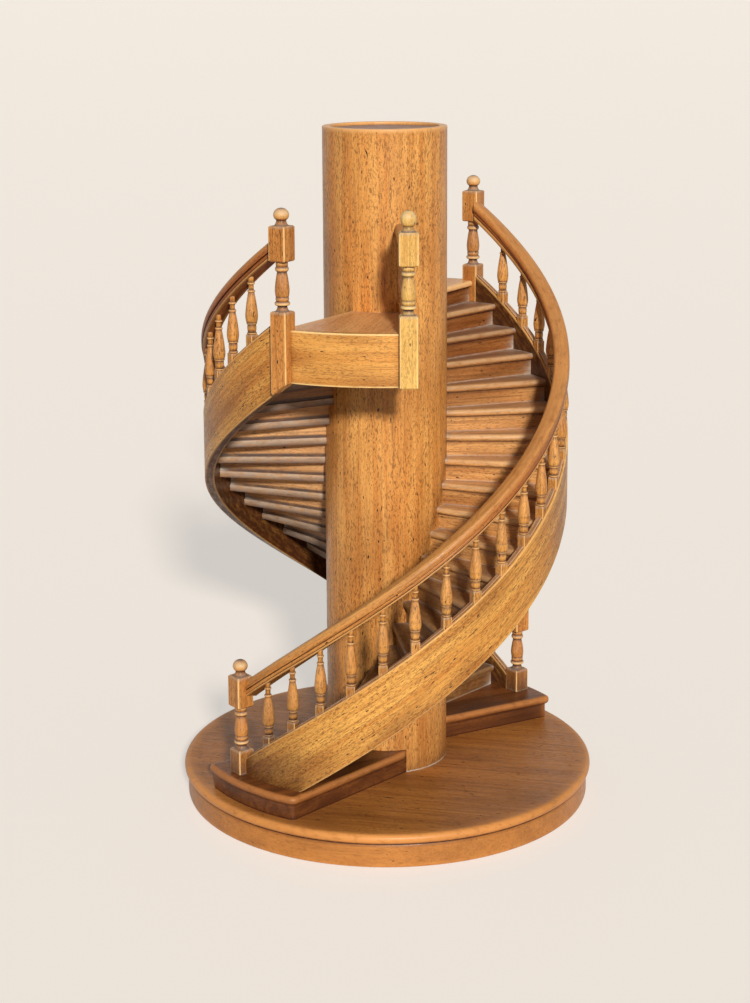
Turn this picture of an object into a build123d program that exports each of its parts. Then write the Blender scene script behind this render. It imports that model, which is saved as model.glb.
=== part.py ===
"""Wooden model of a double spiral staircase, the kind a joiner makes to show the trade.

Two flights of winding steps, half a turn apart, climb round one hollow centre drum that stands on a
round base board.  Each flight has an outer string, treads and risers between the string and the
drum, turned balusters, a moulded handrail, three turned newels and a small landing at its head.

Millimetres.  The origin is the centre of the underside of the base, +Z is up, and angles are
measured anticlockwise from +X as seen from above.  Both flights rise anticlockwise.
"""

import os
from math import asin, atan, cos, degrees, radians, sin, sqrt

from build123d import *

# Base board: a plain plinth under a half-round nosing
base_radius = 175.0
base_height = 28.0
base_nosing = 8.0
plinth_inset = 3.0
groove_depth = 0.6
groove_height = 0.7

# Centre drum, a hollow cylinder with a thin lid let in below its rim
drum_radius = 51.2
drum_wall = 6.5
drum_height = 540.0
rim_round = 0.8
lid_thickness = 3.0
lid_recess = 2.4

# Rise and turn of each flight
first_rise = 20.0
rise = 18.67
rises = 20
going_angle = 10.02
foot_angle = 218.4
landing_angle = 37.8

# Steps
tread_thickness = 5.4
tread_tail = 1.5
nosing_overhang = 3.0
nosing_round = 2.3
riser_thickness = 3.0

# First step: a thick round-edged board on a set-back block
first_board = 7.2
first_overhang = 3.3
first_round = 3.2
first_block_reach = 11.0
first_back_angle = 46.8
first_back_offset = 45.0
first_front_corner = 1.5
first_back_corner = 4.0

# Outer string, and the fillet strips between the balusters on top of it
string_radius = 152.5
string_thickness = 8.0
string_depth = 55.5
string_above_step = 9.2
strip_width = 4.4
strip_height = 1.6

# Newels, with the lengths of the turned waist, the square head and the finial of each
newel_inset = 0.9
newel_square = 14.2
newel_head_square = 15.0
newel_edge = 0.9
foot_newel_base = 20.5
landing_newel_base = 14.3
foot_newel_lengths = (36.4, 26.0, 13.4)
head_newel_lengths = (38.5, 27.2, 13.5)
landing_newel_lengths = (37.4, 25.6, 16.5)

# Balusters
balusters = 19
baluster_inset = 4.5
baluster_square = 7.0
baluster_block = 8.0
first_gap = 11.45
baluster_pitch = 9.755
landing_balusters = 3

# Turned work: each shape is a height, and the radii at its foot, half way up and at its top
baluster_turning = [
    (1.7, 3.7, 3.7, 3.7),
    (6.3, 3.2, 3.6, 3.3),
    (1.6, 4.1, 4.1, 4.1),
    (6.0, 4.3, 4.85, 4.9),
    (17.7, 4.9, 3.9, 2.4),
    (1.8, 2.8, 2.8, 2.8),
    (4.4, 2.0, 2.0, 2.0),
    (1.6, 2.8, 2.8, 2.8),
    (8.4, 2.1, 2.1, 2.1),
]
waist_foot = [
    (4.7, 5.5, 4.1, 3.8),
    (2.8, 5.2, 6.0, 5.2),
    (0.5, 4.6, 4.6, 4.6),
    (3.5, 4.7, 5.1, 4.7),
    (5.4, 5.1, 5.5, 5.65),
]
waist_top = [
    (3.9, 4.3, 5.3, 4.3),
    (3.4, 4.6, 4.6, 4.6),
    (0.5, 4.0, 4.0, 4.0),
]
finial_cove = [(4.2, 5.8, 4.3, 3.8)]
ball_foot_share = 0.42
ball_flat = 0.7

# Handrail: heights are measured upright on the slope, and its underside falls to the inside
rail_inset = 6.1
rail_width = 13.2
rail_depth = 15.4
rail_fall = 2.2
rail_above_string = 51.6
rail_fillet_inset = 1.2
rail_fillet_height = 2.8
rail_bead_height = 6.0
rail_quirk = 0.6
rail_side_height = 9.6
rail_shoulder_bulge = 0.6
rail_crown_width = 6.8
rail_crown_rise = 0.8

# Landing: the row of newel, string and rail at its end leans off the radius
fascia_inset = 0.5
fascia_thickness = 6.0
fascia_depth = 41.5
end_row_lean = 4.7
end_string_thickness = 7.0
end_string_above = 8.0
level_rail_above_string = 51.5

# Fits
joint_gap = 0.07

# Spare length of a baluster's foot, cut off along the slope
trim = 4.5

# ---- places worked out from the sizes above ----
base_top = base_height
drum_top = base_top + drum_height
first_top = base_top + first_rise
landing_top = first_top + rises * rise
first_front = foot_angle - going_angle
head_angle = foot_angle + rises * going_angle
end_angle = head_angle + landing_angle
climb = rise / going_angle
string_inner = string_radius - string_thickness
string_mid = string_radius - string_thickness / 2
first_block_radius = string_radius + first_block_reach
newel_radius = string_radius - newel_inset
baluster_radius = string_radius - baluster_inset
rail_radius = string_radius - rail_inset
fascia_radius = string_radius - fascia_inset
floor_reach = fascia_radius - fascia_thickness
rail_foot_width = rail_width - 2 * rail_fillet_inset
rail_slope = atan(degrees(climb) / rail_radius)
end_string_top = landing_top + end_string_above
end_heading = end_angle - end_row_lean
end_row_length = newel_radius * cos(radians(end_row_lean)) - sqrt(
    drum_radius**2 - (newel_radius * sin(radians(end_row_lean))) ** 2
)


def point(radius, angle, z=0.0):
    """A point at a radius and an angle round the drum."""
    return Vector(radius * cos(radians(angle)), radius * sin(radians(angle)), z)


def upright(radius, angle, z=0.0):
    """An upright plane through the axis: its origin at a radius, x running outward, y up."""
    return Plane(origin=point(radius, angle, z), x_dir=point(1, angle), z_dir=point(1, angle - 90))


def level(radius, angle, z=0.0):
    """A level plane at a radius, its x pointing away from the drum."""
    return Plane(origin=point(radius, angle, z), x_dir=point(1, angle), z_dir=(0, 0, 1))


def end_row(inward=0.0, aside=0.0, z=0.0):
    """A level plane on the line of the landing's end, its x pointing outward through the newel."""
    place = point(newel_radius, end_angle, z) - point(inward, end_heading)
    return Plane(
        origin=place + point(aside, end_heading + 90),
        x_dir=point(1, end_heading),
        z_dir=(0, 0, 1),
    )


def string_top(angle):
    """Height of the top edge of the string at an angle."""
    return first_top + string_above_step + climb * (angle - foot_angle)


def off_drum(edge):
    """True for an edge that doesn't lie on the drum."""
    return Vector(edge.center().X, edge.center().Y).length > drum_radius + 1


def save(part, name):
    """Labels a finished piece and writes it to its own file."""
    part.label = name
    export_step(part, f"parts/{name}.step")


def save_pair(part, name):
    """Writes a piece of the first flight, and its twin of the second, half a turn on."""
    save(part, name + "_a")
    save(part.rotate(Axis.Z, 180), name + "_b")


def climbing(section, radius, start, turn, z):
    """Sweeps an upright section, drawn about a point of the helix, up the pitch of the stair."""
    with BuildPart() as ribbon:
        with BuildLine(Plane.XY.offset(z)):
            Helix(climb * 360, climb * turn, radius)
        with BuildSketch(upright(radius, 0, z)):
            add(section)
        sweep(is_frenet=True)
    return ribbon.part.rotate(Axis.Z, start)


def turned(frame, shapes):
    """A turned length about the upright axis of a frame, from its foot up.

    Each shape is a height and three radii, at its foot, half way up and at its top.
    """
    with BuildPart() as turning:
        with BuildSketch(Plane(origin=frame.origin, x_dir=frame.x_dir, z_dir=-frame.y_dir)):
            with BuildLine():
                here = Vector(0, 0)
                for height, low, middle, high in shapes:
                    if abs(low - here.X) > 1e-6:
                        Line(here, (low, here.Y))
                    top = Vector(high, here.Y + height)
                    if abs(middle - (low + high) / 2) < 1e-6:
                        Line((low, here.Y), top)
                    else:
                        ThreePointArc((low, here.Y), (middle, here.Y + height / 2), top)
                    here = top
                Polyline(here, (0, here.Y), (0, 0))
            make_face()
        revolve(axis=Axis(frame.origin, (0, 0, 1)))
    return turning.part


def length_of(shapes):
    """Height of a turned length."""
    return sum(shape[0] for shape in shapes)


def newel_wells(across, along):
    """Columns over the places of the foot and head newels, to cut from what meets them."""
    with BuildPart() as wells:
        for angle in (foot_angle, head_angle):
            with BuildSketch(level(newel_radius, angle)):
                Rectangle(across, along)
            extrude(amount=drum_top)
    return wells.part


def rail_profile(fall, squeeze=1.0):
    """Section of the rail about the middle of its underside: a fillet, a bead and a broad round top.

    The underside falls inward by a measure, and the heights are squeezed for a rail that lies level.
    """
    half = rail_width / 2
    fillet_side = rail_foot_width / 2
    bead_side = half - rail_quirk
    quirk_side = fillet_side - rail_quirk
    crown = rail_crown_width / 2
    fillet_top = rail_fillet_height * squeeze
    bead_low = fillet_top + rail_quirk / 2
    bead_top = rail_bead_height * squeeze
    body_low = bead_top + rail_quirk
    side_top = rail_side_height * squeeze
    top = rail_depth * squeeze
    crown_low = top - rail_crown_rise
    with BuildSketch() as profile:
        with BuildLine():
            Polyline(
                (0, -rail_fall),
                (fillet_side, -rail_fall),
                (fillet_side, fillet_top),
                (quirk_side, fillet_top),
                (quirk_side, bead_low),
            )
            ThreePointArc(
                (quirk_side, bead_low),
                (fillet_side, (bead_low + bead_top) / 2),
                (quirk_side, bead_top),
            )
            Polyline(
                (quirk_side, bead_top),
                (quirk_side, body_low),
                (bead_side, body_low),
                (half, (body_low + side_top) / 2),
                (half, side_top),
            )
            ThreePointArc(
                (half, side_top),
                (
                    (half + crown) / 2 + rail_shoulder_bulge,
                    (side_top + crown_low) / 2 + rail_shoulder_bulge,
                ),
                (crown, crown_low),
            )
            ThreePointArc((crown, crown_low), (crown / 2, top - rail_crown_rise / 4), (0, top))
            Line((0, top), (0, -rail_fall))
        make_face()
        mirror(about=Plane.YZ)
        split(bisect_by=Plane(origin=(0, 0, 0), z_dir=(-fall / rail_foot_width, 1, 0)))
    return profile.sketch


def baluster(foot, foot_tilt, top, top_tilt):
    """A baluster standing at the origin, cut at its foot and top by planes of given tilts."""
    with BuildPart() as post:
        with BuildSketch(Plane.XY.offset(-trim)):
            Rectangle(baluster_square, baluster_square)
        extrude(amount=trim + baluster_block)
        add(turned(Plane.XY.offset(baluster_block), baluster_turning))
        split(bisect_by=Plane(origin=(0, 0, foot), z_dir=foot_tilt), keep=Keep.TOP)
        split(bisect_by=Plane(origin=(0, 0, top), z_dir=top_tilt), keep=Keep.BOTTOM)
    return post.part


def newel_waist(height):
    """Turned shapes of a newel's waist, whose vase takes the height that the mouldings leave."""
    vase_neck = height - length_of(waist_foot) - length_of(waist_top)
    return waist_foot + [(vase_neck, 5.65, 4.9, 3.7)] + waist_top


def newel_finial(height):
    """Turned shapes of a newel's finial, whose ball takes the height that the cove leaves."""
    ball = height - length_of(finial_cove)
    ball_foot = ball * ball_foot_share
    return finial_cove + [(ball_foot, 3.9, 5.6, 6.1), (ball - ball_foot, 6.1, 5.3, ball_flat)]


def newel_block(frame, square, low, high, bevelled_foot=False):
    """A square length of a newel, its corners rounded and its ends bevelled."""
    with BuildPart() as length:
        with BuildSketch(frame.offset(low)):
            Rectangle(square, square)
        extrude(amount=high - low)
        fillet(length.edges().filter_by(Axis.Z), newel_edge)
        ends = length.faces().filter_by(Plane.XY).sort_by(Axis.Z)
        chamfer((ends if bevelled_foot else ends[-1:]).edges(), newel_edge)
    return length.part


def newel(frame, low, base_high, lengths):
    """A newel about the origin of a level frame, its square base between two heights.

    The lengths are those of the turned waist, the square head and the finial.
    """
    waist, head, finial = lengths
    head_low = base_high + waist
    head_high = head_low + head
    with BuildPart() as post:
        add(newel_block(frame, newel_square, low, base_high))
        add(turned(frame.offset(base_high), newel_waist(waist)))
        add(newel_block(frame, newel_head_square, head_low, head_high, bevelled_foot=True))
        add(turned(frame.offset(head_high), newel_finial(finial)))
    return post.part


def landing_sector(outer, inner, start_shift, end_shift):
    """Plan of a ring between the landing's two ends, each moved along by a shift."""
    start = Plane(
        origin=point(start_shift, head_angle + 90),
        x_dir=point(1, head_angle),
        z_dir=(0, 0, 1),
    )
    with BuildSketch() as plan:
        Circle(outer)
        Circle(inner, mode=Mode.SUBTRACT)
        for line, side in ((start, Align.MAX), (end_row(aside=end_shift), Align.MIN)):
            with Locations(line.location):
                Rectangle(
                    4 * base_radius,
                    2 * base_radius,
                    align=(Align.CENTER, side),
                    mode=Mode.SUBTRACT,
                )
        for place in (level(newel_radius, head_angle), end_row()):
            with Locations(place.location):
                Rectangle(newel_square, newel_square, mode=Mode.SUBTRACT)
    return plan.sketch


os.makedirs("parts", exist_ok=True)

# ---- base board ----
with BuildPart() as base_board:
    with BuildSketch(Plane.XZ):
        with BuildLine():
            plinth = base_radius - plinth_inset
            nosing_low = base_top - base_nosing
            nosing_start = base_radius - base_nosing / 2
            Polyline(
                (nosing_start, base_top),
                (0, base_top),
                (0, 0),
                (plinth, 0),
                (plinth, nosing_low - groove_height),
                (plinth - groove_depth, nosing_low - groove_height),
                (plinth - groove_depth, nosing_low),
                (nosing_start, nosing_low),
            )
            ThreePointArc(
                (nosing_start, nosing_low),
                (base_radius, (nosing_low + base_top) / 2),
                (nosing_start, base_top),
            )
        make_face()
    revolve(axis=Axis.Z)
save(base_board.part, "base_board")

# ---- drum and its lid ----
with BuildPart() as drum:
    with BuildSketch(Plane.XY.offset(base_top)):
        Circle(drum_radius)
        Circle(drum_radius - drum_wall, mode=Mode.SUBTRACT)
    extrude(amount=drum_height)
    fillet(drum.faces().sort_by(Axis.Z)[-1].edges(), rim_round)
save(drum.part, "drum")

with BuildPart() as drum_lid:
    with BuildSketch(Plane.XY.offset(drum_top - lid_recess - lid_thickness)):
        Circle(drum_radius - drum_wall)
    extrude(amount=lid_thickness)
save(drum_lid.part, "drum_lid")

# ---- first step: its front is radial, its back runs almost at a tangent to the drum ----
back_corner_angle = first_back_angle + 180 + degrees(asin(first_back_offset / first_block_radius))
front_corner = point(first_block_radius, first_front)
back_corner = point(first_block_radius, back_corner_angle)
with BuildSketch() as first_plan:
    with BuildLine():
        Line((0, 0), front_corner)
        ThreePointArc(
            front_corner,
            point(first_block_radius, (first_front + back_corner_angle) / 2),
            back_corner,
        )
        Polyline(back_corner, point(first_back_offset, first_back_angle - 90), (0, 0))
    make_face()
    fillet(first_plan.vertices().sort_by_distance(front_corner)[0], first_front_corner)
    fillet(first_plan.vertices().sort_by_distance(back_corner)[0], first_back_corner)

with BuildPart() as first_block:
    with BuildSketch(Plane.XY.offset(base_top)):
        add(first_plan.sketch)
        Circle(drum_radius, mode=Mode.SUBTRACT)
    extrude(amount=first_rise - first_board)
save_pair(first_block.part, "first_step_block")

with BuildPart() as first_tread:
    with BuildSketch(Plane.XY.offset(first_top - first_board)):
        add(first_plan.sketch)
        offset(amount=first_overhang)
        Circle(drum_radius, mode=Mode.SUBTRACT)
    extrude(amount=first_board)
    board_faces = first_tread.faces().filter_by(Plane.XY)
    fillet(board_faces.edges().filter_by(off_drum), first_round)
save_pair(first_tread.part, "first_step_board")

# ---- treads and risers, one set of each per flight ----
step_reach = string_inner - joint_gap
with BuildPart() as tread:
    with BuildSketch(level(0, 0, first_top + rise - tread_thickness)) as tread_plan:
        with Locations((0, -nosing_overhang)):
            Rectangle(
                step_reach,
                2 * base_radius,
                align=(Align.MIN, Align.MIN),
            )
        tail = riser_thickness + tread_tail
        with Locations(Location(point(tail, going_angle + 90), (0, 0, going_angle))):
            Rectangle(
                2 * base_radius,
                2 * base_radius,
                align=(Align.CENTER, Align.MIN),
                mode=Mode.SUBTRACT,
            )
        Circle(step_reach, mode=Mode.INTERSECT)
        Circle(drum_radius, mode=Mode.SUBTRACT)
    extrude(amount=tread_thickness)
    front_edges = tread.faces().sort_by(Axis.Y)[0].edges()
    fillet(front_edges.filter_by(GeomType.LINE).filter_by(Axis.X), nosing_round)

steps = [
    Location((0, 0, rise * step), (0, 0, foot_angle + going_angle * (step + 1)))
    for step in range(rises)
]
with BuildPart() as treads:
    with Locations(steps[:-1]):
        add(tread.part)
save_pair(treads.part, "treads")

with BuildPart() as riser:
    with BuildSketch(level(0, 0, first_top)):
        Rectangle(step_reach, riser_thickness, align=(Align.MIN, Align.MIN))
        Circle(step_reach, mode=Mode.INTERSECT)
        Circle(drum_radius, mode=Mode.SUBTRACT)
    extrude(amount=rise - tread_thickness)

with BuildPart() as risers:
    with Locations(steps):
        add(riser.part)
save_pair(risers.part, "risers")

# ---- outer string, a ribbon on edge that climbs round the stair and stands on the first step ----
flight_turn = head_angle - foot_angle
string_foot = string_top(foot_angle)
with BuildSketch() as string_section:
    Rectangle(string_thickness, string_depth, align=(Align.CENTER, Align.MAX))

with BuildPart() as string:
    add(climbing(string_section.sketch, string_mid, foot_angle, flight_turn, string_foot))
    split(bisect_by=Plane.XY.offset(first_top), keep=Keep.TOP)
    add(newel_wells(newel_square, newel_square), mode=Mode.SUBTRACT)
save_pair(string.part, "string")

# ---- handrail, which ends at the sides of the newels' heads ----
with BuildPart() as handrail:
    rail_foot = string_foot + rail_above_string
    add(climbing(rail_profile(rail_fall), rail_radius, foot_angle, flight_turn, rail_foot))
    add(newel_wells(2 * newel_head_square, newel_head_square), mode=Mode.SUBTRACT)
save_pair(handrail.part, "handrail")

# ---- balusters: a square foot on the string, then a turned length up to the rail ----
baluster_slope = degrees(climb) / baluster_radius
underside_slope = rail_fall / rail_foot_width
rail_over_baluster = rail_above_string + (baluster_radius - rail_radius) * underside_slope
sloped_baluster = baluster(
    joint_gap,
    Vector(0, -baluster_slope, 1),
    rail_over_baluster - joint_gap,
    Vector(-underside_slope, -baluster_slope, 1),
)
baluster_angles = [
    foot_angle + first_gap + baluster_pitch * count for count in range(balusters)
]
with BuildPart() as baluster_set:
    for angle in baluster_angles:
        with Locations(level(baluster_radius, angle, string_top(angle))):
            add(sloped_baluster)
save_pair(baluster_set.part, "balusters")

# ---- fillet strips that space the balusters along the string ----
with BuildSketch() as strip_section:
    Rectangle(strip_width, strip_height, align=(Align.CENTER, Align.MIN))
with BuildPart() as strips:
    add(climbing(strip_section.sketch, string_mid, foot_angle, flight_turn, string_foot))
    add(newel_wells(newel_square, newel_square), mode=Mode.SUBTRACT)
    for angle in baluster_angles:
        with BuildSketch(level(baluster_radius, angle)):
            Rectangle(baluster_square + 2 * joint_gap, baluster_square + 2 * joint_gap)
        extrude(amount=drum_top, mode=Mode.SUBTRACT)
save_pair(strips.part, "string_strips")

# ---- newels: square base and head, turned between and at the top ----
landing_base = landing_top + landing_newel_base
foot_newel = newel(
    level(newel_radius, foot_angle), first_top, first_top + foot_newel_base, foot_newel_lengths
)
save_pair(foot_newel, "newel_foot")

# the head newel's foot is cut off along the underside of the string
string_low = string_top(head_angle) - string_depth
cut_normal = Vector(0, 0, 1) - point(1, head_angle + 90) * (degrees(climb) / newel_radius)
foot_cut = Plane(origin=point(newel_radius, head_angle, string_low), z_dir=cut_normal)
with BuildPart() as head_newel:
    add(
        newel(
            level(newel_radius, head_angle),
            string_low - newel_square,
            landing_base,
            head_newel_lengths,
        )
    )
    split(bisect_by=foot_cut, keep=Keep.TOP)
save_pair(head_newel.part, "newel_head")

landing_newel = newel(
    end_row(), landing_top - fascia_depth, landing_base, landing_newel_lengths
)
save_pair(landing_newel, "newel_landing")

# ---- landing: floor, curved fascia, and the row at its end, back to the drum ----
with BuildPart() as landing_floor:
    with BuildSketch(Plane.XY.offset(landing_top - tread_thickness)):
        add(landing_sector(floor_reach, drum_radius, -nosing_overhang, -end_string_thickness / 2))
    extrude(amount=tread_thickness)
save_pair(landing_floor.part, "landing_floor")

with BuildPart() as landing_fascia:
    with BuildSketch(Plane.XY.offset(landing_top - fascia_depth)):
        add(landing_sector(fascia_radius, floor_reach, 0, 0))
    extrude(amount=fascia_depth)
save_pair(landing_fascia.part, "landing_fascia")

with BuildPart() as drum_column:
    with BuildSketch():
        Circle(drum_radius)
    extrude(amount=drum_top)

end_string_depth = fascia_depth + end_string_above
with BuildPart() as end_string:
    with BuildSketch(end_row(newel_square / 2, z=end_string_top - end_string_depth)):
        Rectangle(end_row_length, end_string_thickness, align=(Align.MAX, Align.CENTER))
    extrude(amount=end_string_depth)
    add(drum_column.part, mode=Mode.SUBTRACT)
save_pair(end_string.part, "landing_end_string")

level_rail_low = end_string_top + level_rail_above_string
with BuildPart() as landing_rail:
    rail_frame = Plane(
        origin=end_row(newel_head_square / 2, z=level_rail_low).origin,
        x_dir=point(1, end_heading - 90),
        z_dir=point(-1, end_heading),
    )
    with BuildSketch(rail_frame):
        add(rail_profile(0, cos(rail_slope)))
    extrude(amount=end_row_length)
    add(drum_column.part, mode=Mode.SUBTRACT)
save_pair(landing_rail.part, "landing_rail")

upright_tilt = Vector(0, 0, 1)
level_baluster = baluster(0, upright_tilt, level_rail_above_string, upright_tilt)
spacing = (end_row_length - newel_square / 2) / (landing_balusters + 1)
with BuildPart() as landing_set:
    for count in range(landing_balusters):
        with Locations(end_row(newel_square / 2 + spacing * (count + 1), z=end_string_top)):
            add(level_baluster)
save_pair(landing_set.part, "landing_balusters")
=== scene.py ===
# A joiner's wooden model of a double spiral staircase: two flights of winders round one hollow drum,
# on a round base board.  Sawn, turned and screw-cut in a fine brown hardwood with short dark pores,
# glued and pinned, varnished once and handled for a long time since.
from math import atan2, cos, degrees, hypot, pi, radians, sin, sqrt

import bpy
import numpy as np
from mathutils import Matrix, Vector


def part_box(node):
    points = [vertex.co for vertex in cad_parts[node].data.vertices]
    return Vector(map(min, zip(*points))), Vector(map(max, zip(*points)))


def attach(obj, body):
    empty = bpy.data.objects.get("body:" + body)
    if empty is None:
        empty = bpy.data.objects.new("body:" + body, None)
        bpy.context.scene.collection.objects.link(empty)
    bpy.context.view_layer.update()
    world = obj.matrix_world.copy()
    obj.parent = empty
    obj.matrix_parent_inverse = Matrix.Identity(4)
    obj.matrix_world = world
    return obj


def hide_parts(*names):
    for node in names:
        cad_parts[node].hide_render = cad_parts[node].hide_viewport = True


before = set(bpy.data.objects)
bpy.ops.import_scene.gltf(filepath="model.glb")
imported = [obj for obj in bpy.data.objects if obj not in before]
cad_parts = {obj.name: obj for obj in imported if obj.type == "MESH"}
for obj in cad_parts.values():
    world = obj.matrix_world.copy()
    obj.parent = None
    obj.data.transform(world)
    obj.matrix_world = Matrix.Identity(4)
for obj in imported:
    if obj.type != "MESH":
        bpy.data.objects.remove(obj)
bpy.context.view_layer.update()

# ---- base board --------------------------------
# A round hardwood board, turned on a face plate: a plinth under a half-round nosing that hands
# have worn pale, with a fine groove between them.  Its grain runs straight across, left to right.


def tint(red, green, blue):
    """A colour named by its sRGB values, 0 to 255, as the linear colour that a shader takes."""
    part = np.array([red, green, blue]) / 255
    linear = np.where(part <= 0.04045, part / 12.92, ((part + 0.055) / 1.055) ** 2.4)
    return (*linear.tolist(), 1.0)


def join(tree, socket, value):
    """Sets a socket to a number or a colour, or links another node's output to it."""
    if isinstance(value, bpy.types.NodeSocket):
        tree.links.new(value, socket)
    else:
        socket.default_value = value


def add_node(tree, kind, settings=None, **inputs):
    """Adds a shader node; an input's name has underscores for its spaces."""
    made = tree.nodes.new(kind)
    for key, value in (settings or {}).items():
        setattr(made, key, value)
    for key, value in inputs.items():
        join(tree, made.inputs[key.replace("_", " ")], value)
    return made


def noise(tree, place, stretch, detail=2.0, rough=0.5, bend=0.0):
    """Noise over a place, which is first scaled by stretch, in waves per metre each way."""
    scaled = add_node(tree, "ShaderNodeMapping", Vector=place, Scale=stretch).outputs[0]
    sizes = {"Scale": 1.0, "Detail": detail, "Roughness": rough, "Distortion": bend}
    return add_node(tree, "ShaderNodeTexNoise", Vector=scaled, **sizes).outputs[0]


def between(tree, value, low, high, start=0.0, end=1.0):
    """Runs from start to end, smoothly, while a value goes from low to high."""
    kind = {"interpolation_type": "SMOOTHSTEP"}
    ends = {"From_Min": low, "From_Max": high, "To_Min": start, "To_Max": end}
    return add_node(tree, "ShaderNodeMapRange", kind, Value=value, **ends).outputs[0]


def times(tree, first, second, way="MULTIPLY"):
    """First times second, or another sum of the two."""
    made = add_node(tree, "ShaderNodeMath", {"operation": way})
    join(tree, made.inputs[0], first)
    join(tree, made.inputs[1], second)
    return made.outputs[0]


def mixed(tree, factor, under, over, way="MIX"):
    """Lays the colour over on the colour under, as far as the factor says."""
    made = add_node(tree, "ShaderNodeMix", {"data_type": "RGBA", "blend_type": way})
    for index, value in ((0, factor), (6, under), (7, over)):
        join(tree, made.inputs[index], value)
    return made.outputs[2]


def wood(name, pale, middle, deep, rubbed, patch=0.4, flecks=0.6, streaks=0.35, gloss=0.38, above=None):
    """Varnished hardwood, its colours named by their sRGB values, 0 to 255.

    It reads the piece's own grain coordinates, metres across, through and along the board, so
    that every board has its own figure: wide soft bands, streaks, fine fibres, and short dark
    pores that lie along the grain.  The worn attribute rubs its edges pale and the dust attribute
    lays grey dust in its corners; the grime_and_shade attribute darkens it with dirt and with
    painted shade in corners, hollows and undersides.  Above is a colour that the wood is
    darkened with high up, and the two heights between which it comes in.
    """
    pale, middle, deep, rubbed = (tint(*colour) for colour in (pale, middle, deep, rubbed))
    pore_brown, hole_black = tint(74, 36, 15), tint(30, 14, 7)
    # The dark brown lays both real dirt and painted shade.
    dirt_and_shade_brown, dust_grey = tint(58, 24, 10), tint(190, 180, 166)

    made = bpy.data.materials.new(name)
    made.use_nodes = True
    tree = made.node_tree
    shader = tree.nodes["Principled BSDF"]
    grain = add_node(tree, "ShaderNodeAttribute", {"attribute_name": "grain"}).outputs["Vector"]
    worn, grime_and_shade, dust = (
        add_node(tree, "ShaderNodeAttribute", {"attribute_name": mark}).outputs["Fac"]
        for mark in ("worn", "grime_and_shade", "dust")
    )

    band = noise(tree, grain, (130, 130, 7), 3.0, 0.55, 0.5)
    cloud = noise(tree, grain, (26, 26, 9))
    streak = noise(tree, grain, (520, 520, 16))
    fibre = noise(tree, grain, (1700, 1700, 60), rough=0.6)
    pore = noise(tree, grain, (950, 950, 270), 1.0)
    fine_pore = noise(tree, grain, (2100, 2100, 560), 1.0)
    dash = noise(tree, grain, (620, 620, 210), 0.0)
    drift = noise(tree, grain, (90, 90, 22), 1.0)
    scuff = noise(tree, grain, (240, 240, 120), 3.0, 0.6)

    colour = mixed(tree, between(tree, band, 0.3, 0.7), middle, pale)
    for waves, low, high, most in (
        (cloud, 0.42, 0.74, patch),
        (streak, 0.46, 0.70, streaks),
        (fibre, 0.42, 0.72, 0.3),
    ):
        colour = mixed(tree, between(tree, waves, low, high, 0.0, most), colour, deep)
    if above:
        stain, low, high = above
        place = add_node(tree, "ShaderNodeTexCoord").outputs["Object"]
        height = add_node(tree, "ShaderNodeSeparateXYZ", Vector=place).outputs["Z"]
        colour = mixed(tree, between(tree, height, low, high), colour, tint(*stain), "MULTIPLY")
    fleck = between(tree, pore, 0.56, 0.61)
    fine_fleck = between(tree, fine_pore, 0.57, 0.65, 0.0, 0.8)
    thinned = between(tree, drift, 0.35, 0.6, 0.65, 1.0)
    fleck = times(tree, times(tree, fleck, fine_fleck, "MAXIMUM"), thinned)
    colour = mixed(tree, times(tree, fleck, flecks), colour, pore_brown)
    hole = between(tree, dash, 0.80, 0.83)
    colour = mixed(tree, hole, colour, hole_black)
    # The grime_and_shade mark lays dark brown both as dirt and as painted shade in corners, hollows and
    # undersides.
    for mark, low, high, least, layer in (
        (worn, 0.2, 0.55, 0.45, rubbed),
        (grime_and_shade, 0.25, 0.6, 0.72, dirt_and_shade_brown),
        (dust, 0.3, 0.65, 0.45, dust_grey),
    ):
        uneven = between(tree, scuff, low, high, least, 1.0)
        colour = mixed(tree, times(tree, mark, uneven), colour, layer)
    join(tree, shader.inputs["Base Color"], colour)

    sheen = between(tree, scuff, 0.3, 0.7, gloss - 0.06, gloss + 0.1)
    sheen = times(tree, sheen, times(tree, dust, 0.4), "ADD")
    join(tree, shader.inputs["Roughness"], sheen)
    shader.inputs["Specular IOR Level"].default_value = 0.25
    shader.inputs["Coat Weight"].default_value = 0.08
    shader.inputs["Coat Roughness"].default_value = 0.3

    depth = times(tree, times(tree, fleck, 0.8), times(tree, fibre, 0.5), "ADD")
    depth = times(tree, depth, times(tree, hole, 2.5), "ADD")
    bump = add_node(tree, "ShaderNodeBump", {"invert": True}, Strength=0.3, Distance=0.0002, Height=depth)
    join(tree, shader.inputs["Normal"], bump.outputs[0])
    return made


def add_object(name, data):
    """Puts a new object in the scene, at the origin."""
    made = bpy.data.objects.new(name, data)
    bpy.context.scene.collection.objects.link(made)
    return made


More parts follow.
